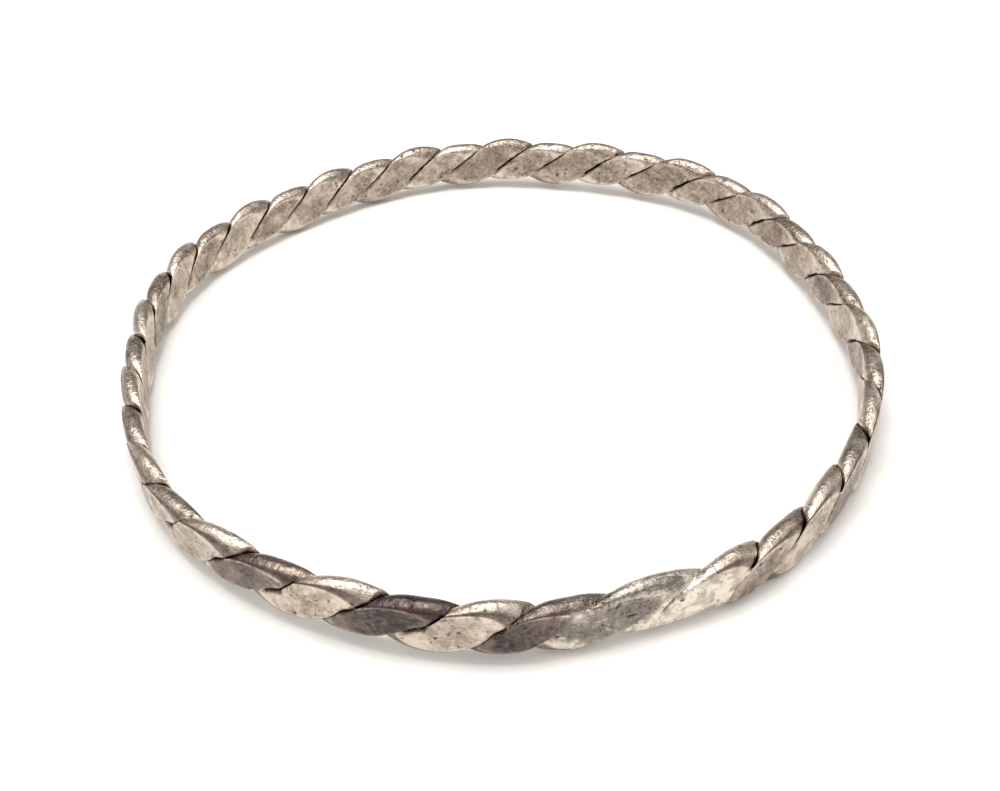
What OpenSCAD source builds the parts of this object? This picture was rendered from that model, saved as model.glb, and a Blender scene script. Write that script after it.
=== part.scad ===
// A bangle of two round silver wires, twisted together, hammered flat on the
// inner and outer faces and soldered end to end into a ring.
// Millimetres. The ring lies flat: z = 0 is the surface that it rests on, and
// the z axis runs through the middle of the wrist opening.
//
// A cross-section of the band is drawn with u outwards from the ring's middle
// and v upwards. The half-turn count k runs round the ring: at a whole number
// the two wires lie side by side, and halfway to the next one lies on the other.

/* [Ring] */
// Inner diameter, across the wrist opening
inner_diameter = 65; // [56:0.5:76]
// Thickness of the band, from inner facets to outer facets
band_thickness = 1.66; // [1.6:0.02:1.9]
// Scale of the hand-bent ring's departure from a true circle
out_of_round = 1; // [0:0.1:1.5]
// Scale of its departure from a flat plane
out_of_flat = 1; // [0:0.1:1.5]

/* [Twist] */
// Half turns of the pair round the ring, odd so that each wire runs into the other
half_turns = 39; // [33:2:45]
// Ring angle where the count of half turns is zero, in degrees
count_start = 152.9; // [150:0.1:157]
// Scale of the hand-made twist's uneven pitch
uneven_pitch = 1; // [0:0.1:1.2]
// How much faster the contact plane swings past upright than a free rope's
contact_swing = 1.42; // [1.1:0.02:1.5]
// Gap between the contact faces of the two wires
wire_gap = 0.24; // [0.22:0.01:0.3]

/* [Thicker wire] */
// Height of its centre over the band's middle where it lies on top
thick_centre_height = 0.68; // [0.6:0.01:0.8]
// Radius upwards where it lies on top
thick_top_radius = 1.97; // [1.85:0.01:2.05]
// Radius upwards where it lies beside the other wire
thick_side_radius = 2.01; // [1.9:0.01:2.1]
// Lean of its oval section as it climbs and falls
thick_lean = 0.11; // [0:0.01:0.15]

/* [Thinner wire] */
// Height of its centre over the band's middle where it lies on top
thin_centre_height = 0.81; // [0.75:0.01:0.85]
// Radius upwards where it lies on top
thin_top_radius = 1.41; // [1.35:0.01:1.5]
// Radius upwards where it lies beside the other wire
thin_side_radius = 1.65; // [1.55:0.01:1.75]
// Lean of its oval section as it climbs and falls
thin_lean = 0.19; // [0:0.01:0.22]
// Shift of the contact plane towards this wire
contact_shift = 0.16; // [0.05:0.01:0.2]

/* [Both wires] */
// Radius outwards, before the flattening cuts it off
wire_out_radius = 1.14; // [1.08:0.01:1.2]
// Offset of a wire's centre from the band's middle where the two lie side by side
side_offset = 0.46; // [0.4:0.01:0.5]
// Sharpness of the crest between a facet and the round rim
crest_sharpness = 22; // [10:1:30]
// Sharpness of the edge between a wire's outside and its contact face
contact_sharpness = 8; // [6:0.5:12]

/* [Solder joint] */
// Half-turn count where the joint begins
joint_begin = 13.3; // [13.2:0.05:13.5]
// Length of the joint, in half turns
joint_half_turns = 2.2; // [2:0.05:2.4]
// Solder standing proud of the two facets, on each face
joint_swell = 0.03; // [0:0.01:0.06]
// Depth by which the hammer took the ring's curve out of the joint
joint_flat = 0.7; // [0:0.05:0.8]
// Half-turn count by which each wire has its own sizes and no more those it ran into
change_over = 15.15; // [15:0.01:15.2]
// Sharpness of the joint's crests, softened by the solder
joint_sharpness = 7; // [5:0.5:12]

/* [Hidden] */

// Columns of the three tables of waves: how many go round the ring, and their two parts
WAVES = 0;
COSINE_PART = 1;
SINE_PART = 2;
// How the ring departs from a circle, in mm
OUT_OF_ROUND = [
    [2, -0.37, -0.44],
    [3, -0.17, 0.17],
    [4, -0.23, -0.07],
    [6, -0.17, -0.22],
    [7, 0.09, -0.06]
];

// How the ring departs from a flat plane, in mm
OUT_OF_FLAT = [
    [2, 0, 0.23],
    [3, 0.1, 0.03],
    [4, 0.04, -0.13]
];

// How the twist runs ahead or behind, in degrees of ring angle
UNEVEN_PITCH = [
    [1, 3.65, 1.45],
    [2, -0.77, -0.09],
    [3, 0, 0.36]
];

// Columns of the slips: half-turn count of the middle, width in half turns, and the most
// that the twist slips ahead there, in degrees of ring angle
MIDDLE = 0;
WIDTH = 1;
SLIP = 2;
SLIPS = [
    [13.3, 0.9, -1.5],
    [14.3, 0.7, -1.3],
    [15.2, 0.8, 1.4],
    [48.3, 1.5, 0.7]
];

// Middle and width of the flat spot at the joint, in half turns
FLAT_MIDDLE = 14.3;
FLAT_WIDTH = 1;
// Half turns over which a wire's sizes change, on each side of change_over
CHANGE_REACH = 0.35;

// Columns of a wire: height of its centre, top radius, side radius, lean, shift of the
// contact plane, and the turn in degrees that sets the wires opposite each other
CENTRE_HEIGHT = 0;
TOP_RADIUS = 1;
SIDE_RADIUS = 2;
LEAN = 3;
SHIFT = 4;
TURN = 5;
half_turn = 180;
same_side = 0;
THICK = [
    thick_centre_height, thick_top_radius, thick_side_radius, thick_lean, contact_shift, same_side
];
THIN = [
    thin_centre_height, thin_top_radius, thin_side_radius, thin_lean, -contact_shift, half_turn
];

mean_radius = inner_diameter / 2 + band_thickness / 2;
face = band_thickness / 2;

// Points round a wire's outline and round the joint's, and rings in a half turn
WIRE_POINTS = 12;
WIRE_RINGS = 8;
JOINT_POINTS = 24;
JOINT_RINGS = 8;
// The outline's points are spread as on an ellipse this much narrower than tall
SPREAD = 0.55;

joint_end = joint_begin + joint_half_turns;
strand_begin = joint_end;
strand_end = joint_begin + half_turns;
strand_steps = ceil((strand_end - strand_begin) * WIRE_RINGS);
joint_steps = ceil(joint_half_turns * JOINT_RINGS);

// Sum of a table's waves at an angle
function wave_sum(rows, angle, i = 0) =
    i == len(rows) ? 0
    : rows[i][COSINE_PART] * cos(rows[i][WAVES] * angle)
        + rows[i][SINE_PART] * sin(rows[i][WAVES] * angle) + wave_sum(rows, angle, i + 1);

// A round hump of height 1 at a half-turn count, the same again once round the ring
function hump(k, middle, width) =
    let (half = half_turns / 2, away = (k - middle + half + half_turns) % half_turns - half)
    exp(-pow(away / width, 2));

// A soft step from 0 at low to 1 at high
function smooth_step(low, high, value) =
    let (s = min(1, max(0, (value - low) / (high - low)))) s * s * (3 - 2 * s);

// Ring angle at a half-turn count: an even twist, its uneven pitch and its slips
function even_angle(k) = count_start + 360 * k / half_turns;
function slip_sum(k, i = 0) =
    i == len(SLIPS) ? 0
    : SLIPS[i][SLIP] * hump(k, SLIPS[i][MIDDLE], SLIPS[i][WIDTH]) + slip_sum(k, i + 1);
function ring_angle(k) =
    even_angle(k) + uneven_pitch * (wave_sum(UNEVEN_PITCH, even_angle(k)) + slip_sum(k));

// Radius of the band's middle at a ring angle, and its rise over the ring's own plane
function ring_radius(angle) = mean_radius + out_of_round * wave_sum(OUT_OF_ROUND, angle);
function ring_rise(angle) = out_of_flat * wave_sum(OUT_OF_FLAT, angle);

// Unit direction of an outline's point number i of n
function direction(i, n) =
    let (t = 360 * i / n, d = [SPREAD * cos(t), sin(t)]) d / norm(d);

// Direction from the band's middle to a wire: outwards at 0, up at 90, inwards at 180
function wire_turn(wire, k) = half_turn * (k - 1) + wire[TURN];
function wire_centre(wire, k) =
    let (a = wire_turn(wire, k)) [side_offset * cos(a), wire[CENTRE_HEIGHT] * sin(a)];
function up_radius(wire, k) =
    wire[TOP_RADIUS] + (wire[SIDE_RADIUS] - wire[TOP_RADIUS]) * pow(cos(wire_turn(wire, k)), 2);

// Matrix of a wire's oval: a point at d from its centre is on it where d * oval * d is 1
function oval(wire, k) =
    let (
        up = up_radius(wire, k),
        slant = wire[LEAN] * sin(2 * wire_turn(wire, k)) / (wire_out_radius * up)
    )
    [[1 / pow(wire_out_radius, 2), slant], [slant, 1 / pow(up, 2)]];

// Nearness (one over the distance) of each limit of a wire, looking from its centre
function near_facet(centre, d) = abs(d[0]) / (face - sign(d[0]) * centre[0]);
function near_round(wire, k, d) = sqrt(d * oval(wire, k) * d);
function near_contact(wire, k, d) =
    let (
        a = wire_turn(wire, k),
        across = [contact_swing * cos(a), sin(a)],
        n = across / norm(across),
        distance = n * wire_centre(wire, k) + wire[SHIFT] - wire_gap / 2
    )
    max(0, -(n * d)) / distance;
// The nearest limit wins, with the corner between two limits a little rounded
function soft_nearest(a, b, sharpness) = pow(pow(a, sharpness) + pow(b, sharpness), 1 / sharpness);

// Point of a wire's outline, as [u, v]
function wire_point(wire, k, d) =
    let (
        centre = wire_centre(wire, k),
        skin = soft_nearest(near_facet(centre, d), near_round(wire, k, d), crest_sharpness),
        nearness = soft_nearest(skin, near_contact(wire, k, d), contact_sharpness)
    )
    centre + d / nearness;

// Distance from the band's middle out to a wire's round skin
function round_reach(wire, k, d) =
    let (
        centre = wire_centre(wire, k),
        matrix = oval(wire, k),
        square = d * matrix * d,
        half = d * matrix * centre,
        rest = centre * matrix * centre - 1
    )
    (half + sqrt(half * half - square * rest)) / square;

// A wire in the joint, on its way from the sizes of the other wire to its own
function joined(wire, other, k) =
    let (share = smooth_step(change_over - CHANGE_REACH, change_over + CHANGE_REACH, k))
    concat(
        [for (i = [CENTRE_HEIGHT:LEAN]) other[i] + (wire[i] - other[i]) * share],
        [wire[SHIFT], wire[TURN]]
    );

// Point of the joint's outline: both wires' skins as one, with the groove left shallow
function joint_point(k, d) =
    let (
        reach = max(
            round_reach(joined(THICK, THIN, k), k, d),
            round_reach(joined(THIN, THICK, k), k, d)
        ),
        near_face = abs(d[0]) / (face + joint_swell)
    )
    d / soft_nearest(near_face, 1 / reach, joint_sharpness);

// Half-turn counts from one to another in a number of equal steps
function counts(from, to, steps) = [for (i = [0:steps]) from + (to - from) * i / steps];
function wire_outline(wire, k) =
    [for (i = [0:WIRE_POINTS - 1]) wire_point(wire, k, direction(i, WIRE_POINTS))];
function joint_outline(k) =
    [for (i = [0:JOINT_POINTS - 1]) joint_point(k, direction(i, JOINT_POINTS))];

// The ring is lifted until its lowest hump rests on the surface
function lowest(wire) =
    min([
        for (k = counts(strand_begin, strand_end, strand_steps))
            let (rise = ring_rise(ring_angle(k)))
            for (p = wire_outline(wire, k)) rise + p[1]
    ]);
lift = -min(lowest(THICK), lowest(THIN));

// An outline at a half-turn count, set upright in the ring at its angle
function placed(outline, k) =
    let (
        angle = ring_angle(k),
        middle = ring_radius(angle) - joint_flat * hump(k, FLAT_MIDDLE, FLAT_WIDTH),
        height = lift + ring_rise(angle)
    )
    [for (p = outline) [(middle + p[0]) * cos(angle), (middle + p[0]) * sin(angle), height + p[1]]];

// A closed skin over a row of outlines of n points each. Each flat end is a fan of
// triangles round its own middle point.
module loft(outlines, end_middles, n) {
    last = len(outlines) - 1;
    far_end = last * n;
    near_middle = far_end + n;
    far_middle = near_middle + 1;
    sides = [
        for (r = [0:last - 1]) for (i = [0:n - 1])
            let (j = (i + 1) % n, a = r * n, b = a + n)
            each [[a + i, a + j, b + j], [a + i, b + j, b + i]]
    ];
    ends = [
        for (i = [0:n - 1])
            let (j = (i + 1) % n)
            each [[near_middle, j, i], [far_middle, far_end + i, far_end + j]]
    ];
    polyhedron(
        points = concat([for (outline = outlines) each outline], end_middles),
        faces = concat(sides, ends),
        convexity = 10
    );
}

module strand(wire) {
    steps = counts(strand_begin, strand_end, strand_steps);
    loft(
        [for (k = steps) placed(wire_outline(wire, k), k)],
        [for (k = [strand_begin, strand_end]) placed([wire_centre(wire, k)], k)[0]],
        WIRE_POINTS
    );
}

module thick_strand() {
    color("#C8BBA8") strand(THICK);
}

module thin_strand() {
    color("#7A7074") strand(THIN);
}

module solder_joint() {
    steps = counts(joint_begin, joint_end, joint_steps);
    color("#A39A8E") loft(
        [for (k = steps) placed(joint_outline(k), k)],
        [for (k = [joint_begin, joint_end]) placed([[0, 0]], k)[0]],
        JOINT_POINTS
    );
}

thick_strand();
thin_strand();
solder_joint();
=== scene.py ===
"""The looks of a twisted silver bangle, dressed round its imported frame.

Two round silver wires are twisted together, hammered flat on the inner and the outer face,
and soldered end to end. All places are metres in the frame's own axes. Sizes are kept in
millimetres, as a maker has them, and turned to metres where a mesh is made.

A cross-section of the band has u outwards from the ring's middle and v upwards. The half-turn
count runs round the ring: at a whole number the two wires lie side by side, and halfway to the
next one lies on the other.
"""
import logging
import math
from dataclasses import dataclass
from enum import Enum
from typing import ClassVar

import bpy
import numpy as np
from mathutils import Matrix, Vector

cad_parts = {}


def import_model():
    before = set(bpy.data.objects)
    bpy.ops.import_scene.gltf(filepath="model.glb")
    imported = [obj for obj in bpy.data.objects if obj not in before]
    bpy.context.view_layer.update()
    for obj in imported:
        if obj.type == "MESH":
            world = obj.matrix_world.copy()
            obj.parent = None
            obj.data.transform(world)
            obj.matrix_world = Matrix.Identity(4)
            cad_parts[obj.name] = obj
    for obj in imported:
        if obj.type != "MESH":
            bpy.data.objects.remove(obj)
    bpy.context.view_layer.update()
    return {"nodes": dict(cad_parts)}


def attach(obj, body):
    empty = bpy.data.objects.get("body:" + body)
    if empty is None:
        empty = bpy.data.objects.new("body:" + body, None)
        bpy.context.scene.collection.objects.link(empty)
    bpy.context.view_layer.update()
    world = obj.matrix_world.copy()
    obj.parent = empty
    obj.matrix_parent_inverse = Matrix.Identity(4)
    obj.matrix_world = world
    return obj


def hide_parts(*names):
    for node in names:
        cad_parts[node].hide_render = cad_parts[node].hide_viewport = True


LOG = logging.getLogger("bangle")
MM = 0.001
HALF_TURN = math.pi
# How far a half turn reaches along the ring.
HALF_TURN_MM = 5.4
# How closely the points of a cross-section crowd towards its top and bottom: below 1, closer.
SPREAD = 0.55


class WireKind(Enum):
    """Which wire of the pair: its value is the sign of its side of the contact plane."""

    THICK = 1
    THIN = -1


@dataclass(frozen=True)
class Wave:
    """One wave round the ring: how many times it repeats, and its cosine and sine parts."""

    repeats: int
    cosine: float
    sine: float

    def at(self, angle: np.ndarray) -> np.ndarray:
        """Height of the wave at ring angles in radians."""
        return self.cosine * np.cos(self.repeats * angle) + self.sine * np.sin(self.repeats * angle)


def wave_sum(waves: tuple[Wave, ...], angle: np.ndarray) -> np.ndarray:
    """Adds up waves round the ring.

    Args:
        waves: the waves.
        angle: ring angles in radians.

    Returns:
        The sum of the waves at each angle, in the waves' own unit.
    """
    return sum(wave.at(angle) for wave in waves)


def smooth_step(low: float, high: float, value: np.ndarray) -> np.ndarray:
    """A soft step from 0 at low to 1 at high: 3 s squared less 2 s cubed.

    Args:
        low: where the step is 0.
        high: where it is 1, on either side of low.
        value: where to read it.

    Returns:
        The step's height, from 0 to 1.
    """
    s = np.clip((value - low) / (high - low), 0.0, 1.0)
    return s * s * (3.0 - 2.0 * s)


def bump(value: np.ndarray, centre: float, width: float) -> np.ndarray:
    """A round hump of height 1: e to the minus square of the distance over the width.

    Args:
        value: where to read it.
        centre: the middle of the hump.
        width: the distance at which it has fallen to about a third.

    Returns:
        The hump's height, from 0 to 1.
    """
    return np.exp(-(((value - centre) / width) ** 2))


def directions(count: int) -> tuple[np.ndarray, np.ndarray]:
    """Directions all round a cross-section: a circle's, squeezed sideways and brought to length 1.

    Args:
        count: how many directions.

    Returns:
        Their outward and their upward parts, each a row.
    """
    t = np.linspace(0.0, 2.0 * math.pi, count, endpoint=False)[None, :]
    length = np.hypot(SPREAD * np.cos(t), np.sin(t))
    return SPREAD * np.cos(t) / length, np.sin(t) / length


@dataclass(frozen=True)
class Stretch:
    """A stretch of the ring that differs from the rest: its middle and its width in half turns."""

    count: float
    width: float
    change: float
    round_trip: float = 39.0

    def at(self, counts: np.ndarray) -> np.ndarray:
        """Change round the ring: a round hump, the same again once round.

        Args:
            counts: half-turn counts.

        Returns:
            The change at each count, in the stretch's own unit.
        """
        half = self.round_trip / 2
        away = (counts - self.count + half) % self.round_trip - half
        return self.change * bump(away, 0.0, self.width)


def stretch_sum(stretches: tuple[Stretch, ...], counts: np.ndarray) -> np.ndarray:
    """Adds up stretches.

    Args:
        stretches: the stretches.
        counts: half-turn counts.

    Returns:
        The sum of their changes at each count.
    """
    return sum(stretch.at(counts) for stretch in stretches)


class LatticeNoise:
    """Smooth random relief: random heights at the corners of cubes, blended inside each cube."""

    SIDE = 64

    def __init__(self, seed: int) -> None:
        """Draws the corners' heights from a seed."""
        self.corners = np.random.default_rng(seed).uniform(-1.0, 1.0, (self.SIDE,) * 3)

    def at(self, points: np.ndarray, cell: float) -> np.ndarray:
        """Height of the relief at points.

        The place in its cube is softened by the smooth step, and the eight corners are
        blended by it along each axis in turn.

        Args:
            points: places, with three coordinates in the last column.
            cell: side of a cube, in the same unit.

        Returns:
            Heights from -1 to 1.
        """
        scaled = points / cell + self.SIDE / 2
        base = np.floor(scaled).astype(int)
        share = smooth_step(0.0, 1.0, scaled - base)
        total = np.zeros(points.shape[:-1])
        for corner in np.ndindex(2, 2, 2):
            index = (base + np.array(corner)) % self.SIDE
            weight = np.prod(np.where(np.array(corner) == 1, share, 1.0 - share), axis=-1)
            total += weight * self.corners[index[..., 0], index[..., 1], index[..., 2]]
        return total


@dataclass(frozen=True)
class RingForm:
    """The hand-bent ring that the pair of wires follows. Millimetres and degrees."""

    inner_diameter: float = 65.0
    band_thickness: float = 1.66
    half_turns: int = 39
    count_start: float = 152.9
    out_of_round: tuple[Wave, ...] = (
        Wave(2, -0.37, -0.44),
        Wave(3, -0.17, 0.17),
        Wave(4, -0.23, -0.07),
        Wave(6, -0.17, -0.22),
        Wave(7, 0.09, -0.06),
    )
    out_of_flat: tuple[Wave, ...] = (Wave(2, 0.0, 0.23), Wave(3, 0.1, 0.03), Wave(4, 0.04, -0.13))
    uneven_pitch: tuple[Wave, ...] = (Wave(1, 3.65, 1.45), Wave(2, -0.77, -0.09), Wave(3, 0.0, 0.36))
    slips: tuple[Stretch, ...] = (
        Stretch(13.3, 0.9, -1.5),
        Stretch(14.3, 0.7, -1.3),
        Stretch(15.2, 0.8, 1.4),
        Stretch(48.3, 1.5, 0.7),
    )
    flattened: Stretch = Stretch(14.3, 1.0, -0.7)

    @property
    def mean_radius(self) -> float:
        """Radius of the band's middle, before the ring departs from a circle."""
        return self.inner_diameter / 2 + self.band_thickness / 2

    @property
    def face(self) -> float:
        """Distance from the band's middle to each flat face."""
        return self.band_thickness / 2

    def angle(self, count: np.ndarray) -> np.ndarray:
        """Ring angle in radians at half-turn counts: an even twist, its uneven pitch and slips."""
        even = np.radians(self.count_start + 360.0 * count / self.half_turns)
        return even + np.radians(wave_sum(self.uneven_pitch, even) + stretch_sum(self.slips, count))

    def place(self, count: np.ndarray, u: np.ndarray, v: np.ndarray) -> np.ndarray:
        """Sets points of cross-sections upright in the ring.

        Args:
            count: half-turn count of each point.
            u: distance outwards from the band's middle, in mm.
            v: height over the band's middle, in mm.

        Returns:
            Points in mm, three coordinates in the last column, not yet lifted to the surface.
        """
        angle = self.angle(count)
        reach = self.mean_radius + wave_sum(self.out_of_round, angle) + self.flattened.at(count) + u
        height = v + wave_sum(self.out_of_flat, angle)
        return np.stack(np.broadcast_arrays(reach * np.cos(angle), reach * np.sin(angle), height), -1)


@dataclass(frozen=True)
class Notch:
    """A wedge of round skin that the hammer missed, where a wire comes from under the other.

    Its places are half turns short of the middle of the wire's facet. It widens evenly from
    tapers_at to full_at, and an abrupt edge cuts it off between whole_at and gone_at. It reaches
    some way from the contact plane, in mm, and lies deeper than the facet.
    """

    tapers_at: float
    full_at: float
    whole_at: float
    gone_at: float
    reach: float
    least_reach: float = 0.02
    inner_share: float = 0.6
    level_share: float = 0.6
    shallow_until: float = 0.1
    deep_from: float = 0.5
    depth: float = 0.4

    def depth_at(self, short: np.ndarray, outer: np.ndarray, clear: np.ndarray) -> np.ndarray:
        """Depth of the wedge under the facet.

        Args:
            short: half turns short of the middle of the facet.
            outer: whether a point is on the outer side of the band.
            clear: distance from the contact plane, in mm.

        Returns:
            Depth in mm.
        """
        widening = np.clip((self.tapers_at - short) / (self.tapers_at - self.full_at), 0.0, 1.0)
        share = widening * smooth_step(self.gone_at, self.whole_at, short)
        wide = self.least_reach + self.reach * share * np.where(outer, 1.0, self.inner_share)
        near = smooth_step(wide, self.level_share * wide, clear)
        return self.depth * smooth_step(self.shallow_until, self.deep_from, share) * near


@dataclass(frozen=True)
class WireForm:
    """One wire's cross-section as the hammer left it. Millimetres."""

    kind: WireKind
    centre_height: float
    top_radius: float
    side_radius: float
    lean: float
    notch: Notch
    out_radius: float = 1.14
    side_offset: float = 0.46
    thick_climb: float = 5.0
    thin_climb: float = 4.0
    groove_sag: float = 0.2
    edge_droop: float = 0.25
    edge_droop_past: float = 0.15
    edge_step: float = 0.3
    edge_step_past: float = 0.07
    edge_width: float = 0.1
    contact_hold: float = 8.0
    contact_shift: float = 0.16
    wire_gap: float = 0.05
    crest_sharpness: float = 22.0
    rim_proud: float = 0.06
    rim_sharpness: float = 12.0
    contact_sharpness: float = 8.0
    fine_points: int = 360

    def turn(self, count: np.ndarray) -> np.ndarray:
        """Direction from the band's middle to the wire: outwards at 0, up at a quarter turn."""
        opposite = 0.0 if self.kind is WireKind.THICK else math.pi
        return HALF_TURN * (count - 1.0) + opposite

    def outline(self, ring: RingForm, count: np.ndarray) -> dict[str, np.ndarray]:
        """Works out the wire's outline at each half-turn count.

        The skin lies, in each direction from the wire's centre, at the nearest of three limits:
        the flat face left by the hammer, the round of the drawn wire, which the blows bent
        upright beside the face, and the plane where the two wires meet. Nearness is one over
        the distance, and the limits are joined by a power mean, so the corner between two of
        them is a little rounded.

        Args:
            ring: the ring that the wire follows.
            count: half-turn counts, one for each row.

        Returns:
            Arrays with a row for each count and a column for each direction: u and v in mm, the
            shares facet and groove, which say how far a point is on the flat face or on the
            contact face, the notch's depth in mm, and over, which grows from 0 at the outer
            crest to 1 up the rim.
        """
        count = count[:, None]
        du, dv = directions(self.fine_points)
        turn = self.turn(count)
        cosine = np.cos(turn)
        sine = np.sin(turn)
        centre_u = self.side_offset * cosine
        centre_v = self.centre_height * sine
        up_radius = self.top_radius + (self.side_radius - self.top_radius) * cosine**2
        near_face = np.abs(du) / (ring.face - np.sign(du) * centre_u)
        lean = 2.0 * self.lean * 2.0 * cosine * sine * du * dv / (self.out_radius * up_radius)
        near_oval = np.sqrt((du / self.out_radius) ** 2 + (dv / up_radius) ** 2 + lean)
        near_proud = np.abs(du) / (ring.face + self.rim_proud - np.sign(du) * centre_u)
        rim = near_oval**self.rim_sharpness + near_proud**self.rim_sharpness
        near_round = rim ** (1.0 / self.rim_sharpness)
        across_u, across_v, middle = self.contact_plane(ring, count)
        depth = across_u * centre_u + across_v * centre_v - middle - self.wire_gap / 2
        near_contact = np.maximum(-(across_u * du + across_v * dv), 0.0) / depth
        face_part = near_face**self.crest_sharpness
        round_part = near_round**self.crest_sharpness
        skin = (face_part + round_part) ** (1.0 / self.crest_sharpness)
        skin_part = skin**self.contact_sharpness
        contact_part = near_contact**self.contact_sharpness
        nearness = (skin_part + contact_part) ** (1.0 / self.contact_sharpness)
        u = centre_u + du / nearness
        v = centre_v + dv / nearness
        clear = across_u * u + across_v * v - middle - self.wire_gap / 2
        facet_middle = np.where((u > 0) == (self.kind is WireKind.THICK), 1.0, 0.0)
        notch = self.notch.depth_at((facet_middle - count) % 2.0, u > 0, clear)
        u = np.sign(u) * np.minimum(np.abs(u), ring.face - notch)
        return {
            "u": u,
            "v": v,
            "facet": face_part / (face_part + round_part),
            "groove": contact_part / (skin_part + contact_part),
            "notch": notch,
            # over is 1 all over the inner side, so the painted dark reflection falls only on the outer
            # rims.
            "over": np.where(du > 0, 1.0 - near_face / near_round, 1.0),
        }

    def contact_plane(self, ring: RingForm, count: np.ndarray) -> tuple[np.ndarray, ...]:
        """The plane where the two wires meet.

        It cuts the outer face at a height that climbs evenly with the count, and the inner face
        at one that falls, so the grooves are straight. The outer groove sags a little halfway.
        Near a whole count, where the wires lie side by side, the plane swings past upright. A
        little past halfway the outer groove also steps up where the thicker wire is on top, and
        droops where the thinner one is.

        Args:
            ring: the ring that the wire follows.
            count: half-turn counts, a column.

        Returns:
            The outward and the upward part of the unit normal towards the wire, and the plane's
            distance from the band's middle along it, in mm.
        """
        past = count - np.floor(count) - 0.5
        thick_on_top = np.floor(count) % 2.0 == 1.0
        climb = np.where(thick_on_top, self.thick_climb, self.thin_climb) * past
        shift = np.where(thick_on_top, self.contact_shift, -self.contact_shift)
        step_up = self.edge_step * bump(past, self.edge_step_past, self.edge_width)
        droop = self.edge_droop * bump(past, self.edge_droop_past, self.edge_width)
        wander = np.where(thick_on_top, step_up, -droop)
        outer = climb - shift - self.groove_sag * (1.0 - (2.0 * past) ** 2) + wander
        inner = -climb - shift
        side = np.where(thick_on_top, 1.0, -1.0) * self.kind.value
        outward = side * (inner - outer)
        upward = side * 2.0 * ring.face * (1.0 - np.abs(2.0 * past) ** self.contact_hold)
        length = np.hypot(outward, upward)
        return outward / length, upward / length, side * ring.face * (outer + inner) / length


def even_out(
    outline: dict[str, np.ndarray], points: int, corner_pull: float, reach: int = 5
) -> dict[str, np.ndarray]:
    """Spreads a closed outline's points anew, closer together at its corners.

    Each stretch weighs its length plus corner_pull times how much the outline turns there, and
    the new points stand at equal steps of the summed weight. The weight is averaged over a few
    outlines, so the points shift gently from one to the next.

    Args:
        outline: arrays with a row for each outline, u and v among them.
        points: how many points each outline gets.
        corner_pull: millimetres of length that a full turn of the outline counts for.
        reach: how many outlines on each side the weight is averaged over.

    Returns:
        The same arrays with points columns.
    """
    u = outline["u"]
    v = outline["v"]
    step_u = np.roll(u, -1, 1) - u
    step_v = np.roll(v, -1, 1) - v
    heading = np.arctan2(step_v, step_u)
    turn = np.abs((heading - np.roll(heading, 1, 1) + math.pi) % (2.0 * math.pi) - math.pi)
    weight = np.hypot(step_u, step_v) + corner_pull * (turn + np.roll(turn, -1, 1)) / (4.0 * math.pi)
    total = np.concatenate([np.zeros((len(u), 1)), np.cumsum(weight, 1)], 1)
    total = total / total[:, -1:]
    window = 2 * reach + 1
    running = np.cumsum(np.pad(total, ((reach + 1, reach), (0, 0)), mode="edge"), 0)
    total = (running[window:] - running[:-window]) / window
    row = np.arange(len(u))[:, None] * 2.0
    wanted = (np.arange(points)[None, :] / points + row).ravel()
    known = (total + row).ravel()
    evened = {}
    for name, values in outline.items():
        closed = np.concatenate([values, values[:, :1]], 1)
        evened[name] = np.interp(wanted, known, closed.ravel()).reshape(len(u), points)
    return evened


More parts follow.
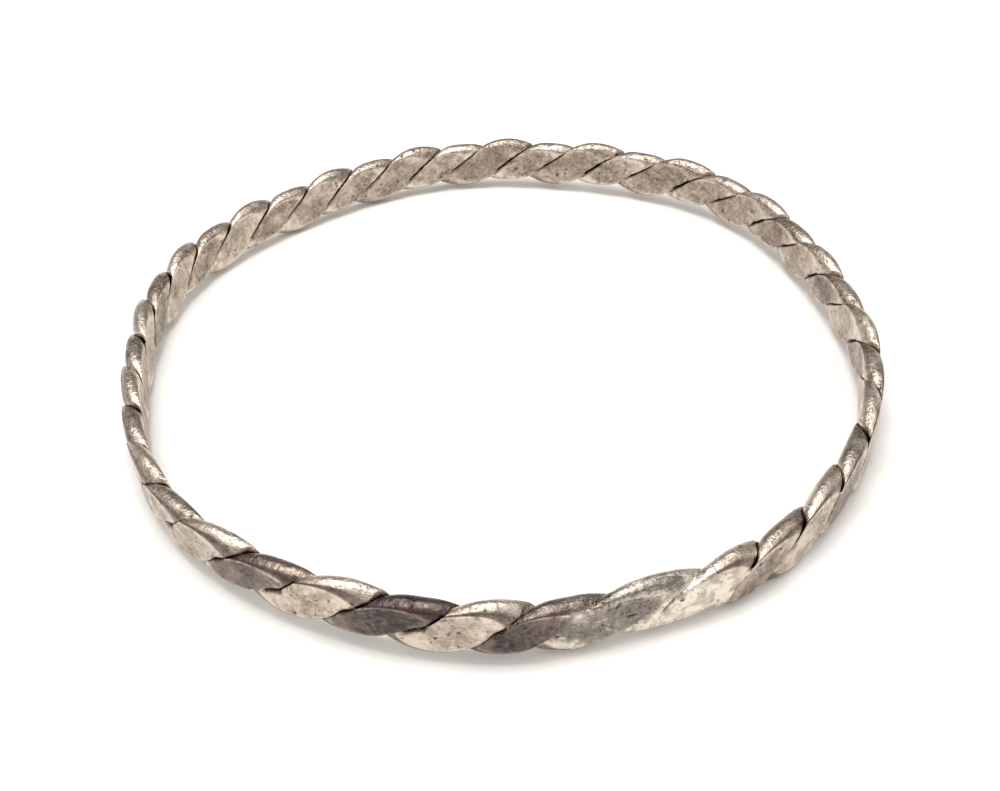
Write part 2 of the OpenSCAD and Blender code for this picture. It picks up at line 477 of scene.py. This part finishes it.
class SkinMesh:
    """A closed mesh over a row of closed outlines, with a fan of triangles on each end."""

    def __init__(self, name: str, points: np.ndarray, middles: np.ndarray) -> None:
        """Builds the mesh.

        Args:
            name: the piece's name.
            points: rings by points by three coordinates, in metres.
            middles: the middle point of the first and of the last ring, in metres.
        """
        self.rings, self.around = points.shape[:2]
        index = np.arange(self.rings * self.around).reshape(self.rings, self.around)
        nxt = np.roll(index, -1, 1)
        quads = np.stack([index[:-1], index[1:], nxt[1:], nxt[:-1]], -1).reshape(-1, 4)
        first = np.full(self.around, index.size)
        near_fan = np.stack([first, index[0], nxt[0]], -1)
        far_fan = np.stack([first + 1, nxt[-1], index[-1]], -1)
        self.mesh = bpy.data.meshes.new(name)
        vertices = np.concatenate([points.reshape(-1, 3), middles])
        faces = quads.tolist() + near_fan.tolist() + far_fan.tolist()
        self.mesh.from_pydata(vertices.tolist(), [], faces)
        self.mesh.polygons.foreach_set("use_smooth", np.ones(len(faces), bool))
        self.piece = bpy.data.objects.new(name, self.mesh)
        bpy.context.scene.collection.objects.link(self.piece)
        self.quads = len(quads)

    def mark(self, name: str, values: np.ndarray) -> None:
        """Stores a number at each vertex, for the finish to read.

        Args:
            name: the attribute's name.
            values: rings by points.
        """
        attribute = self.mesh.attributes.new(name, "FLOAT", "POINT")
        ends = np.array([values[0].mean(), values[-1].mean()])
        attribute.data.foreach_set("value", np.concatenate([values.ravel(), ends]).astype(np.float32))

    def unwrap(self, counts: np.ndarray, points: np.ndarray) -> None:
        """Lays the skin flat in millimetres, along the wire and round it.

        Args:
            counts: half-turn count of each ring.
            points: rings by points by three coordinates, in mm.
        """
        along = (counts - counts[0]) * HALF_TURN_MM
        step = np.linalg.norm(np.roll(points, -1, 1) - points, axis=-1)
        around = np.concatenate([np.zeros((self.rings, 1)), np.cumsum(step, 1)], 1)
        corners = np.zeros((self.quads, 4, 2))
        start = np.repeat(along[:-1], self.around)
        end = np.repeat(along[1:], self.around)
        corners[:, :, 0] = np.stack([start, end, end, start], -1)
        low = around[:-1, :-1].ravel()
        next_low = around[1:, :-1].ravel()
        next_high = around[1:, 1:].ravel()
        high = around[:-1, 1:].ravel()
        corners[:, :, 1] = np.stack([low, next_low, next_high, high], -1)
        layer = self.mesh.uv_layers.new(name="along_and_around")
        flat = np.zeros((len(self.mesh.loops), 2), np.float32)
        flat[: self.quads * 4] = corners.reshape(-1, 2)
        layer.data.foreach_set("uv", flat.ravel())


def from_hex(code: str) -> tuple[float, float, float, float]:
    """Turns an sRGB hex colour to linear red, green, blue and full opacity.

    Args:
        code: the colour, such as "#C8BBA8".

    Returns:
        The linear colour.
    """
    parts = [int(code[i : i + 2], 16) / 255.0 for i in (1, 3, 5)]
    linear = [p / 12.92 if p <= 0.04045 else ((p + 0.055) / 1.055) ** 2.4 for p in parts]
    return (*linear, 1.0)


def add_node(
    tree: bpy.types.NodeTree,
    kind: str,
    links: dict[str | int, object],
    out: str | int | None = 0,
    **settings: object,
) -> bpy.types.NodeSocket | None:
    """Adds a shader node with its settings, and links or sets its inputs.

    Args:
        tree: the node tree.
        kind: the node's type, such as "ShaderNodeMix".
        links: for each input, by name or number, an output to link or a value to set.
        out: the output to hand back, by name or number, or None.
        settings: properties of the node.

    Returns:
        The node's output, or None.
    """
    node = tree.nodes.new(kind)
    for name, value in settings.items():
        setattr(node, name, value)
    for name, value in links.items():
        if isinstance(value, bpy.types.NodeSocket):
            tree.links.new(value, node.inputs[name])
        else:
            node.inputs[name].default_value = value
    return None if out is None else node.outputs[out]


@dataclass(frozen=True)
class WornSilver:
    """Sterling silver wire, drawn, hammered, soldered and worn: facets, rims, tarnish and pits.

    The hammer left satin facets, which give the eye a soft even grey, and wear polished the
    round rims and the crests, which give it narrow bright lights. A thin tarnish turns the
    silver brown and a thick one mauve, in clouds a few millimetres wide. A painted dark
    reflection lies along the outer rims just over the crests. The grooves and the notch wedges
    are near black, partly dirt and partly painted shade, and the pits that fire scale left are
    dark. Widths are those of the real marks, but the specks and the scratches are drawn a
    little coarser, so that they show.
    """

    name: str
    silver: str = "#DACCBE"
    thin_tarnish: str = "#8E7F74"
    thick_tarnish: str = "#40383D"
    # Painted reflection: a dark reddish band along the outer rims, just over the crests, stands in for a
    # dark horizon reflected in the rim.
    crest_dark_reflection: str = "#4C3536"
    patina: str = "#8F8371"
    scale: str = "#46382F"
    # Partly dirt, partly painted shade: the near-black colour laid where the mark groove is high, in the
    # grooves between the wires, the notch wedges and the bottoms of the joint's gouges.
    dirt_and_shade: str = "#17100E"
    dark_reflection_share: float = 0.75
    edge_wear: float = 0.2
    cloud_mm: float = 2.6
    grain_mm: float = 0.38
    patina_mm: float = 1.1
    pit_mm: float = 0.85
    speck_mm: float = 0.34
    scratch_mm: float = 0.14
    scratch_length_mm: float = 2.0
    relief_mm: float = 0.13
    rim_relief: float = 0.85
    facet_relief: float = 0.42
    pit_depth: float = 0.5
    scratch_height: float = 0.15
    satin: float = 0.42
    polished: float = 0.2
    pit_roughness: float = 0.3

    MARKS: ClassVar[tuple[str, ...]] = ("facet", "groove", "over", "tone")

    def patterns(self, tree: bpy.types.NodeTree) -> dict[str, bpy.types.NodeSocket]:
        """Adds the random patterns, which lie still on the metal, and the marks on the mesh.

        Args:
            tree: the finish's node tree.

        Returns:
            Outputs by name: clouds, grain, patches, pits, specks, scratches and the marks.
        """
        place = add_node(tree, "ShaderNodeTexCoord", {}, "Object")
        laid_flat = add_node(tree, "ShaderNodeTexCoord", {}, "UV")
        found = {}
        for name, size_mm, detail, roughness, distortion in (
            ("clouds", self.cloud_mm, 5.0, 0.6, 0.0),
            ("grain", self.grain_mm, 4.0, 0.65, 0.0),
            ("patches", self.patina_mm, 3.0, 0.5, 0.6),
        ):
            inputs = {"Vector": place, "Scale": 1.0 / (size_mm * MM), "Detail": detail}
            inputs |= {"Roughness": roughness, "Distortion": distortion}
            found[name] = add_node(tree, "ShaderNodeTexNoise", inputs)
        for name, size_mm in (("pits", self.pit_mm), ("specks", self.speck_mm)):
            inputs = {"Vector": place, "Scale": 1.0 / (size_mm * MM)}
            found[name] = add_node(tree, "ShaderNodeTexVoronoi", inputs)
        per_mm = (1.0 / self.scratch_length_mm, 1.0 / self.scratch_mm, 1.0)
        drawn_out = add_node(tree, "ShaderNodeMapping", {"Vector": laid_flat, "Scale": per_mm})
        inputs = {"Vector": drawn_out, "Scale": 1.0, "Detail": 3.0, "Roughness": 0.6}
        found["scratches"] = add_node(tree, "ShaderNodeTexNoise", inputs, noise_dimensions="2D")
        for mark in self.MARKS:
            found[mark] = add_node(tree, "ShaderNodeAttribute", {}, "Fac", attribute_name=mark)
        return found

    def shares(
        self, tree: bpy.types.NodeTree, found: dict[str, bpy.types.NodeSocket]
    ) -> dict[str, bpy.types.NodeSocket]:
        """Turns patterns and marks into shares: how far each thing that shows covers the metal.

        Each row of the first table changes evenly from start at low to end at high, and each row
        of the second one joins two shares.

        Args:
            tree: the finish's node tree.
            found: the patterns and the marks.

        Returns:
            Outputs by name, most of them from 0 to 1.
        """
        shares = {}
        for name, source, low, high, start, end in (
            ("pit", "pits", 0.3, 0.14, 0.0, 1.0),
            ("pit_place", "grain", 0.5, 0.6, 0.0, 0.9),
            ("speck", "specks", 0.36, 0.18, 0.0, 1.0),
            ("speck_place", "clouds", 0.46, 0.66, 0.0, 0.7),
            ("up_to_crest", "facet", 0.0, 0.5, 0.0, 1.0),
            ("past_crest", "facet", 0.5, 0.9, 1.0, 0.0),
            # Painted reflection: these two rows place the dark band on the outer rim just over the crest.
            ("dark_reflection_begins", "over", 0.01, 0.06, 0.0, 1.0),
            ("dark_reflection_ends", "over", 0.24, 0.42, 1.0, 0.0),
            ("patina", "patches", 0.47, 0.66, 0.0, 0.6),
            ("roughness", "facet", 0.0, 1.0, self.polished, self.satin),
            ("relief", "facet", 0.0, 1.0, self.rim_relief, self.facet_relief),
        ):
            inputs = {"Value": found[source], "From Min": low, "From Max": high}
            inputs |= {"To Min": start, "To Max": end}
            shares[name] = add_node(tree, "ShaderNodeMapRange", inputs)
        for name, one, other, operation in (
            ("deep_pit", "pit", "pit_place", "MULTIPLY"),
            ("small_pit", "speck", "speck_place", "MULTIPLY"),
            ("pitted", "deep_pit", "small_pit", "MAXIMUM"),
            ("worn_edge", "up_to_crest", "past_crest", "MULTIPLY"),
            # Painted reflection: the next row joins the start and the end of the dark band over the
            # crest.
            ("dark_reflection", "dark_reflection_begins", "dark_reflection_ends", "MULTIPLY"),
        ):
            inputs = {0: shares[one], 1: shares[other]}
            shares[name] = add_node(tree, "ShaderNodeMath", inputs, operation=operation)
        return shares

    def colour(
        self,
        tree: bpy.types.NodeTree,
        found: dict[str, bpy.types.NodeSocket],
        shares: dict[str, bpy.types.NodeSocket],
    ) -> bpy.types.NodeSocket:
        """Lays the colours over each other, from thick tarnish, through a painted dark reflection over
        the crests, up to the near black of dirt and painted shade.

        The mark tone says how clean the silver is, and clouds, grain, scratches and wear are
        added to it. Its lower half runs from thick to thin tarnish, and its upper half to silver.

        Args:
            tree: the finish's node tree.
            found: the patterns and the marks.
            shares: the shares.

        Returns:
            The colour.
        """
        clean = found["tone"]
        for part, weight, middle in (
            (found["clouds"], -1.0, 0.5),
            (found["grain"], -0.8, 0.5),
            (found["scratches"], -0.45, 0.5),
            (found["facet"], -0.2, 1.0),
            (shares["worn_edge"], self.edge_wear, 0.0),
        ):
            shifted = add_node(tree, "ShaderNodeMath", {0: part, 1: middle}, operation="SUBTRACT")
            inputs = {0: shifted, 1: weight, 2: clean}
            clean = add_node(tree, "ShaderNodeMath", inputs, operation="MULTIPLY_ADD")
        halves = [
            add_node(tree, "ShaderNodeMapRange", {"Value": clean, "From Min": low, "From Max": low + 0.5})
            for low in (0.0, 0.5)
        ]
        # Painted reflection: how strongly the dark band over the outer crests is laid on.
        inputs = {0: shares["dark_reflection"], 1: self.dark_reflection_share}
        dark_reflection_strength = add_node(tree, "ShaderNodeMath", inputs, operation="MULTIPLY")
        colour = from_hex(self.thick_tarnish)
        for share, over in (
            (halves[0], self.thin_tarnish),
            (halves[1], self.silver),
            (shares["patina"], self.patina),
            (dark_reflection_strength, self.crest_dark_reflection),
            (shares["pitted"], self.scale),
            # Partly dirt, partly painted shade: near black where the mark groove is high.
            (found["groove"], self.dirt_and_shade),
        ):
            inputs = {0: share, 6: colour, 7: from_hex(over)}
            colour = add_node(tree, "ShaderNodeMix", inputs, 2, data_type="RGBA")
        return colour

    def material(self) -> bpy.types.Material:
        """Builds the finish.

        Returns:
            A node material that reads Object coordinates, the UV map in millimetres and the
            marks facet, groove, over and tone.
        """
        material = bpy.data.materials.new(self.name)
        material.use_nodes = True
        tree = material.node_tree
        tree.nodes.clear()
        found = self.patterns(tree)
        shares = self.shares(tree, found)
        inputs = {0: shares["pitted"], 1: self.pit_roughness, 2: shares["roughness"]}
        roughness = add_node(tree, "ShaderNodeMath", inputs, operation="MULTIPLY_ADD")
        height = found["grain"]
        for part, weight in (
            (shares["pitted"], -self.pit_depth),
            (found["scratches"], self.scratch_height),
        ):
            inputs = {0: part, 1: weight, 2: height}
            height = add_node(tree, "ShaderNodeMath", inputs, operation="MULTIPLY_ADD")
        inputs = {"Strength": shares["relief"], "Distance": self.relief_mm * MM, "Height": height}
        relief = add_node(tree, "ShaderNodeBump", inputs)
        inputs = {"Base Color": self.colour(tree, found, shares), "Metallic": 1.0}
        inputs |= {"Roughness": roughness, "Normal": relief}
        shader = add_node(tree, "ShaderNodeBsdfPrincipled", inputs)
        add_node(tree, "ShaderNodeOutputMaterial", {"Surface": shader}, None)
        return material


@dataclass
class TwistedPair:
    """The two wires, each once round the ring from one side of the joint to the other."""

    ring: RingForm
    first_count: float = 15.2
    last_count: float = 52.6
    rings: int = 1400
    around: int = 64
    corner_pull: float = 5.0
    dent_seed: int = 7
    dent_mm: float = 0.035
    dent_width_mm: float = 1.9
    end_sink: float = 0.06
    end_reach: float = 0.35
    # Partly dirt, partly painted shade: the spans of the contact share and of the notch depth in mm over
    # which grooves and notches turn near black.
    groove_dirt_and_shade: tuple[float, float] = (0.4, 0.9)
    notch_dirt_and_shade: tuple[float, float] = (0.15, 0.36)
    thick: WireForm = WireForm(
        WireKind.THICK,
        centre_height=0.68,
        top_radius=1.97,
        side_radius=2.01,
        lean=0.11,
        notch=Notch(tapers_at=0.8, full_at=0.38, whole_at=0.34, gone_at=0.3, reach=0.5),
    )
    thin: WireForm = WireForm(
        WireKind.THIN,
        centre_height=0.81,
        top_radius=1.41,
        side_radius=1.65,
        lean=0.19,
        notch=Notch(tapers_at=0.14, full_at=0.44, whole_at=0.44, gone_at=0.48, reach=0.26),
    )
    thick_tone: float = 0.86
    thin_tone: float = 0.54
    thick_stretches: tuple[Stretch, ...] = (
        Stretch(51.0, 0.5, -0.1),
        Stretch(47.0, 0.5, -0.12),
        Stretch(44.0, 2.4, -0.2),
        Stretch(30.0, 8.0, -0.32),
    )
    thin_stretches: tuple[Stretch, ...] = (
        Stretch(50.8, 1.8, -0.58),
        Stretch(48.0, 0.8, -0.2),
        Stretch(46.0, 0.5, 0.3),
        Stretch(32.5, 4.5, 0.15),
    )
    slots: ClassVar[dict[WireKind, str]] = {WireKind.THICK: "light_silver", WireKind.THIN: "dark_silver"}
    nodes: ClassVar[dict[WireKind, str]] = {WireKind.THICK: "thick_strand", WireKind.THIN: "thin_strand"}
    names: ClassVar[dict[WireKind, str]] = {WireKind.THICK: "thick_wire", WireKind.THIN: "thin_wire"}

    def outlines(self, form: WireForm) -> tuple[np.ndarray, dict[str, np.ndarray]]:
        """Half-turn counts along a wire, and its outline at each."""
        counts = np.linspace(self.first_count, self.last_count, self.rings)
        return counts, even_out(form.outline(self.ring, counts), self.around, self.corner_pull)

    def lift(self) -> float:
        """Height of the band's middle plane when the lowest hump rests on the surface.

        Returns:
            The height in mm.
        """
        lows = []
        for form in (self.thick, self.thin):
            counts, shape = self.outlines(form)
            lows.append(self.ring.place(counts[:, None], shape["u"], shape["v"])[..., 2].min())
        return -min(lows)

    def tone(self, form: WireForm, counts: np.ndarray) -> np.ndarray:
        """How clean the wire is along its length.

        Args:
            form: the wire's section.
            counts: half-turn counts.

        Returns:
            The tone at each count, from 0, dark, to 1, clean silver.
        """
        if form.kind is WireKind.THICK:
            return self.thick_tone + stretch_sum(self.thick_stretches, counts)
        return self.thin_tone + stretch_sum(self.thin_stretches, counts)

    def build(self, form: WireForm, lift: float, finish: WornSilver) -> bpy.types.Object:
        """Makes one wire.

        Args:
            form: the wire's section.
            lift: height of the band's middle plane, in mm.
            finish: what it is dressed in.

        Returns:
            The piece.
        """
        counts, shape = self.outlines(form)
        column = counts[:, None]
        points = self.ring.place(column, shape["u"], shape["v"])
        points[..., 2] += lift
        dents = LatticeNoise(self.dent_seed + form.kind.value).at(points, self.dent_width_mm)
        inwards = self.dent_mm * dents * (1.0 - shape["groove"])
        from_end = np.minimum(column - self.first_count, self.last_count - column)
        inwards = inwards - self.end_sink * (1.0 - smooth_step(0.0, self.end_reach, from_end))
        centre = self.ring.place(counts, np.zeros_like(counts), np.zeros_like(counts))
        centre[..., 2] += lift
        away = points - centre[:, None, :]
        away = away / np.linalg.norm(away, axis=-1, keepdims=True)
        points = points + away * inwards[..., None]
        middles = np.stack([points[0].mean(0), points[-1].mean(0)])
        skin = SkinMesh(self.names[form.kind], points * MM, middles * MM)
        skin.mark("facet", shape["facet"])
        # Partly dirt, partly painted shade: the grooves and the notch wedges are marked for the
        # near-black colour.
        in_groove = smooth_step(*self.groove_dirt_and_shade, shape["groove"])
        skin.mark("groove", np.maximum(in_groove, smooth_step(*self.notch_dirt_and_shade, shape["notch"])))
        skin.mark("over", shape["over"])
        skin.mark("tone", np.broadcast_to(self.tone(form, counts)[:, None], shape["u"].shape))
        skin.unwrap(counts, points)
        skin.mesh.materials.append(finish.material())
        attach(skin.piece, "root")
        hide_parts(self.nodes[form.kind])
        return skin.piece


@dataclass(frozen=True)
class Gouge:
    """A scratch or a pit in the joint's outer face: a soft trench.

    Its middle lies at a half-turn count and at a height over the band's middle. Sizes are in mm,
    and the slope is measured from the ring's own direction.
    """

    count: float
    height: float
    length: float
    slope_degrees: float
    width: float
    depth: float

    def share(self, count: np.ndarray, height: np.ndarray) -> np.ndarray:
        """How far each place lies in the trench: a hump across it, faded out at both ends.

        Args:
            count: half-turn counts.
            height: heights over the band's middle, in mm.

        Returns:
            Shares from 0, outside, to 1 along its bottom.
        """
        half = self.length / 2
        ahead = (count - self.count) * HALF_TURN_MM
        above = height - self.height
        slope = math.radians(self.slope_degrees)
        lengthways = np.abs(ahead * math.cos(slope) + above * math.sin(slope))
        sideways = above * math.cos(slope) - ahead * math.sin(slope)
        return bump(sideways, 0.0, self.width) * smooth_step(half, half / 2, lengthways)


@dataclass
class SolderJoint:
    """The stretch where the ends of both wires and the solder are one metal.

    Outside rise_begins and rise_ends the joint lies sunk under the wires, and the first of the
    two comes a little earlier on the underside than on top. Places along the slanted grooves
    are counted so that a facet lies between two whole numbers.
    """

    ring: RingForm
    pair: TwistedPair
    first_count: float = 12.75
    last_count: float = 15.75
    rings: int = 260
    around: int = 240
    corner_pull: float = 4.0
    change_over: float = 15.15
    change_reach: float = 0.35
    groove_slope: float = 5.6
    creases: tuple[Stretch, ...] = (Stretch(13.0, 0.07, 0.05), Stretch(14.0, 0.07, 0.08))
    drip: Stretch = Stretch(14.12, 0.14, 0.16)
    drip_spread: float = 0.05
    rise_begins: float = 13.1
    rise_lag: float = 0.3
    rise_ends: float = 15.65
    run_out: float = 0.45
    sink: float = 0.09
    swell: float = 0.03
    sharpness: float = 9.0
    # How dark the bottom of each gouge is coloured, with the near-black colour of the grooves.
    gouge_darkening: float = 0.8
    dark_tone: float = 0.2
    flux_tone: float = 0.25
    flux_from: tuple[float, float] = (12.8, 13.0)
    bead_tone: float = 0.5
    bead_from: tuple[float, float] = (12.9, 13.1)
    bead_up_to: tuple[float, float] = (13.7, 13.3)
    bead_height: tuple[float, float] = (-0.7, -1.5)
    clean_tone: float = 0.66
    clean_from: tuple[float, float] = (13.95, 14.15)
    # Half-turn count, height, length, slope, width and depth of each.
    gouges: tuple[Gouge, ...] = (
        Gouge(14.7, 0.4, 2.0, 62.0, 0.13, 0.15),
        Gouge(14.32, 0.2, 0.8, 10.0, 0.17, 0.12),
        Gouge(13.44, -0.6, 1.5, -25.0, 0.12, 0.13),
        Gouge(13.36, 0.9, 0.9, 20.0, 0.16, 0.11),
        Gouge(14.17, 1.6, 1.0, 60.0, 0.14, 0.1),
    )

    def round_reach(
        self, own: WireForm, other: WireForm, count: np.ndarray, du: np.ndarray, dv: np.ndarray
    ) -> np.ndarray:
        """Distance from the band's middle out to a wire's round skin.

        On its way through the joint each wire runs into the other, so its sizes change over. A
        ray from the middle meets the wire's oval where a quadratic in its length is zero, and
        the longer root is the way out.

        Args:
            own: the section of the wire that leaves the joint.
            other: the section of the wire that it joins.
            count: half-turn counts, a column.
            du: outward parts of the rays' directions, a row.
            dv: upward parts.

        Returns:
            Distances in mm.
        """
        begins = self.change_over - self.change_reach
        share = smooth_step(begins, self.change_over + self.change_reach, count)

        def mixed(name: str) -> np.ndarray:
            """A size of the wire on its way from the other wire's to its own."""
            start = getattr(other, name)
            return start + (getattr(own, name) - start) * share

        turn = own.turn(count)
        cosine = np.cos(turn)
        sine = np.sin(turn)
        centre_u = own.side_offset * cosine
        centre_v = mixed("centre_height") * sine
        top_radius = mixed("top_radius")
        up_radius = top_radius + (mixed("side_radius") - top_radius) * cosine**2
        q_u = 1.0 / own.out_radius**2
        q_v = 1.0 / up_radius**2
        slant = mixed("lean") * 2.0 * cosine * sine / (own.out_radius * up_radius)
        square = q_u * du**2 + q_v * dv**2 + 2.0 * slant * du * dv
        half = q_u * du * centre_u + q_v * dv * centre_v + slant * (du * centre_v + dv * centre_u)
        rest = q_u * centre_u**2 + q_v * centre_v**2 + 2.0 * slant * centre_u * centre_v - 1.0
        return (half + np.sqrt(half**2 - square * rest)) / square

    def tone(self, slant: np.ndarray, v: np.ndarray) -> np.ndarray:
        """How clean the metal is: dark, then marked by the flux, then clean silver again.

        A bead of solder is cleaner along the lower edge of the flux-marked facet.

        Args:
            slant: place along the slanted grooves.
            v: height over the band's middle, in mm.

        Returns:
            The tone, from 0, dark, to 1, clean silver.
        """
        fluxed = self.flux_tone * smooth_step(*self.flux_from, slant)
        beaded = smooth_step(*self.bead_from, slant) * smooth_step(*self.bead_up_to, slant)
        bead = self.bead_tone * beaded * smooth_step(*self.bead_height, v)
        return self.dark_tone + fluxed + bead + self.clean_tone * smooth_step(*self.clean_from, slant)

    def build(self, lift: float, finish: WornSilver) -> bpy.types.Object:
        """Makes the joint.

        Its skin is the further of the two wires' round skins, cut by the flat faces, and sinks
        under the wires at both ends, where the solder ran out along the grooves.

        Args:
            lift: height of the band's middle plane, in mm.
            finish: what it is dressed in.

        Returns:
            The piece.
        """
        counts = np.linspace(self.first_count, self.last_count, self.rings)
        column = counts[:, None]
        du, dv = directions(4 * self.around)
        reach = np.maximum(
            self.round_reach(self.pair.thick, self.pair.thin, column, du, dv),
            self.round_reach(self.pair.thin, self.pair.thick, column, du, dv),
        )
        near_face = np.abs(du) / (self.ring.face + self.swell)
        nearness = (near_face**self.sharpness + reach**-self.sharpness) ** (1.0 / self.sharpness)
        reach = 1.0 / nearness
        slant = column - np.sign(du) * reach * dv / self.groove_slope - 0.5
        reach = reach - stretch_sum(self.creases, slant)
        reach = reach + self.drip.at(column) * bump(dv, -1.0, self.drip_spread)
        risen = smooth_step(0.0, self.run_out, column - self.rise_begins - self.rise_lag * dv)
        risen = risen * smooth_step(0.0, self.run_out, self.rise_ends - column)
        reach = reach - self.sink * (1.0 - risen)
        gouged = np.zeros_like(reach)
        for gouge in self.gouges:
            share = np.where(du > 0, gouge.share(column, reach * dv), 0.0)
            gouged = np.maximum(gouged, share)
            reach = reach - gouge.depth * share
        facet = np.broadcast_to(near_face**self.sharpness / nearness**self.sharpness, reach.shape)
        shape = even_out(
            {"u": reach * du, "v": reach * dv, "facet": facet, "slant": slant, "gouged": gouged},
            self.around,
            self.corner_pull,
        )
        points = self.ring.place(column, shape["u"], shape["v"])
        points[..., 2] += lift
        middles = np.stack([points[0].mean(0), points[-1].mean(0)])
        skin = SkinMesh("solder", points * MM, middles * MM)
        skin.mark("facet", shape["facet"])
        # The gouges are coloured darker along their bottoms, most where they are deepest.
        skin.mark("groove", self.gouge_darkening * shape["gouged"] ** 3)
        # over is 1 all over the joint, so it gets no painted dark reflection.
        skin.mark("over", np.ones_like(shape["u"]))
        skin.mark("tone", self.tone(shape["slant"], shape["v"]))
        skin.unwrap(counts, points)
        skin.mesh.materials.append(finish.material())
        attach(skin.piece, "root")
        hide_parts("solder_joint")
        return skin.piece


@dataclass(frozen=True)
class Studio:
    """A plain pale floor, plain soft light, and the camera at the photograph's angle."""

    focal_pixels: float = 1234.0
    frame_pixels: float = 1000.0
    elevation: float = 37.08
    distance_mm: float = 113.0
    yaw: float = 0.07
    pitch: float = 2.54
    roll: float = 3.64
    sensor_mm: float = 36.0
    nearest_m: float = 0.001
    floor_m: float = 3.0
    paper: str = "#F6F5F3"
    paper_roughness: float = 0.9
    paper_shine: float = 0.1
    sky: str = "#FFFCF8"
    lamp_size_m: tuple[float, float] = (0.16, 0.1)
    lamp_place_m: tuple[float, float, float] = (-0.03, -0.01, 0.32)
    lamp_watts: float = 0.55

    def camera(self, lift: float) -> None:
        """Sets the camera up: it looks down at the ring's middle, a little turned and rolled.

        It stands at its elevation in front of the ring, and its own axes are turned in turn by
        the pitch, the yaw and the roll.

        Args:
            lift: height of the band's middle plane, in mm.
        """
        high = math.radians(self.elevation)
        back = Vector((0.0, -math.cos(high), math.sin(high)))
        right = Vector((1.0, 0.0, 0.0))
        up = back.cross(right)
        pitch = math.radians(self.pitch)
        tilted = back * math.cos(pitch) + up * math.sin(pitch)
        tilted_up = tilted.cross(right)
        yaw = math.radians(self.yaw)
        turned = right * math.cos(yaw) + tilted * math.sin(yaw)
        away = turned.cross(tilted_up)
        roll = math.radians(self.roll)
        across = turned * math.cos(roll) - tilted_up * math.sin(roll)
        upright = turned * math.sin(roll) + tilted_up * math.cos(roll)
        data = bpy.data.cameras.new("camera")
        data.sensor_width = self.sensor_mm
        data.lens = self.focal_pixels * self.sensor_mm / self.frame_pixels
        data.clip_start = self.nearest_m
        camera = bpy.data.objects.new("camera", data)
        place = back * (self.distance_mm * MM) + Vector((0.0, 0.0, lift * MM))
        columns = Matrix((across, upright, away)).transposed()
        camera.matrix_world = Matrix.Translation(place) @ columns.to_4x4()
        bpy.context.scene.collection.objects.link(camera)
        bpy.context.scene.camera = camera

    def floor(self) -> None:
        """Lays the pale floor."""
        half = self.floor_m / 2
        mesh = bpy.data.meshes.new("floor")
        corners = [(-half, -half, 0.0), (half, -half, 0.0), (half, half, 0.0), (-half, half, 0.0)]
        mesh.from_pydata(corners, [], [(0, 1, 2, 3)])
        floor = bpy.data.objects.new("floor", mesh)
        bpy.context.scene.collection.objects.link(floor)
        material = bpy.data.materials.new("pale_paper")
        material.use_nodes = True
        shader = material.node_tree.nodes["Principled BSDF"]
        shader.inputs["Base Color"].default_value = from_hex(self.paper)
        shader.inputs["Roughness"].default_value = self.paper_roughness
        shader.inputs["Specular IOR Level"].default_value = self.paper_shine
        mesh.materials.append(material)

    def light(self) -> None:
        """Lights the scene with a soft sky, brighter overhead, and one wide lamp above.

        The sky's level rises with height, falls towards the back and is pale at the horizon.
        """
        world = bpy.data.worlds.new("studio")
        bpy.context.scene.world = world
        world.use_nodes = True
        tree = world.node_tree
        tree.nodes.clear()
        direction = add_node(tree, "ShaderNodeTexCoord", {}, "Generated")
        height = add_node(tree, "ShaderNodeSeparateXYZ", {0: direction}, "Z")
        behind = height.node.outputs["Y"]
        levels = []
        for value, low, high, start, end, course in (
            (height, 0.15, 0.8, 0.12, 1.35, "SMOOTHSTEP"),
            (behind, 0.0, 0.8, 1.0, 0.5, "LINEAR"),
            (height, 0.05, 0.13, 0.9, 0.0, "LINEAR"),
        ):
            inputs = {"Value": value, "From Min": low, "From Max": high, "To Min": start, "To Max": end}
            levels.append(add_node(tree, "ShaderNodeMapRange", inputs, interpolation_type=course))
        overhead, dimming, horizon = levels
        dimmed = add_node(tree, "ShaderNodeMath", {0: overhead, 1: dimming}, operation="MULTIPLY")
        level = add_node(tree, "ShaderNodeMath", {0: dimmed, 1: horizon}, operation="MAXIMUM")
        sky = add_node(tree, "ShaderNodeBackground", {"Color": from_hex(self.sky), "Strength": level})
        add_node(tree, "ShaderNodeOutputWorld", {"Surface": sky}, None)
        data = bpy.data.lights.new("softbox", "AREA")
        data.shape = "RECTANGLE"
        data.size, data.size_y = self.lamp_size_m
        data.energy = self.lamp_watts
        lamp = bpy.data.objects.new("softbox", data)
        lamp.location = self.lamp_place_m
        bpy.context.scene.collection.objects.link(lamp)
        settings = bpy.context.scene.view_settings
        settings.view_transform = "Standard"
        settings.look = "None"


def main() -> None:
    """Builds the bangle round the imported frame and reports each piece."""
    logging.basicConfig(level=logging.INFO, format="%(name)s: %(message)s")
    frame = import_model()
    LOG.info("the frame has %d pieces", len(frame["nodes"]))
    ring = RingForm()
    pair = TwistedPair(ring)
    lift = pair.lift()
    LOG.info("the band's middle lies %.3f mm up", lift)
    # Bright hammered silver: warm pale facets with narrow lights on the rims.
    light_silver = WornSilver("worn_silver")
    # The same metal under thicker tarnish: mauve grey facets inside thin bright edges, with a weaker
    # painted dark reflection over the crests.
    dark_silver = WornSilver("tarnished_silver", edge_wear=0.4, dark_reflection_share=0.6, patina="#625A52")
    # Solder and silver run together: a cooler, greenish grey that turns pale to the right.
    joint_silver = WornSilver(
        "soldered_silver", silver="#E8DED1", thin_tarnish="#898079", edge_wear=0.35, patina="#7F7A68"
    )
    pieces = [
        pair.build(pair.thick, lift, light_silver),
        pair.build(pair.thin, lift, dark_silver),
        SolderJoint(ring, pair).build(lift, joint_silver),
    ]
    for piece in pieces:
        LOG.info("%s has %d faces", piece.name, len(piece.data.polygons))
    studio = Studio()
    studio.camera(lift)
    studio.floor()
    studio.light()


if __name__ == "__main__":
    main()
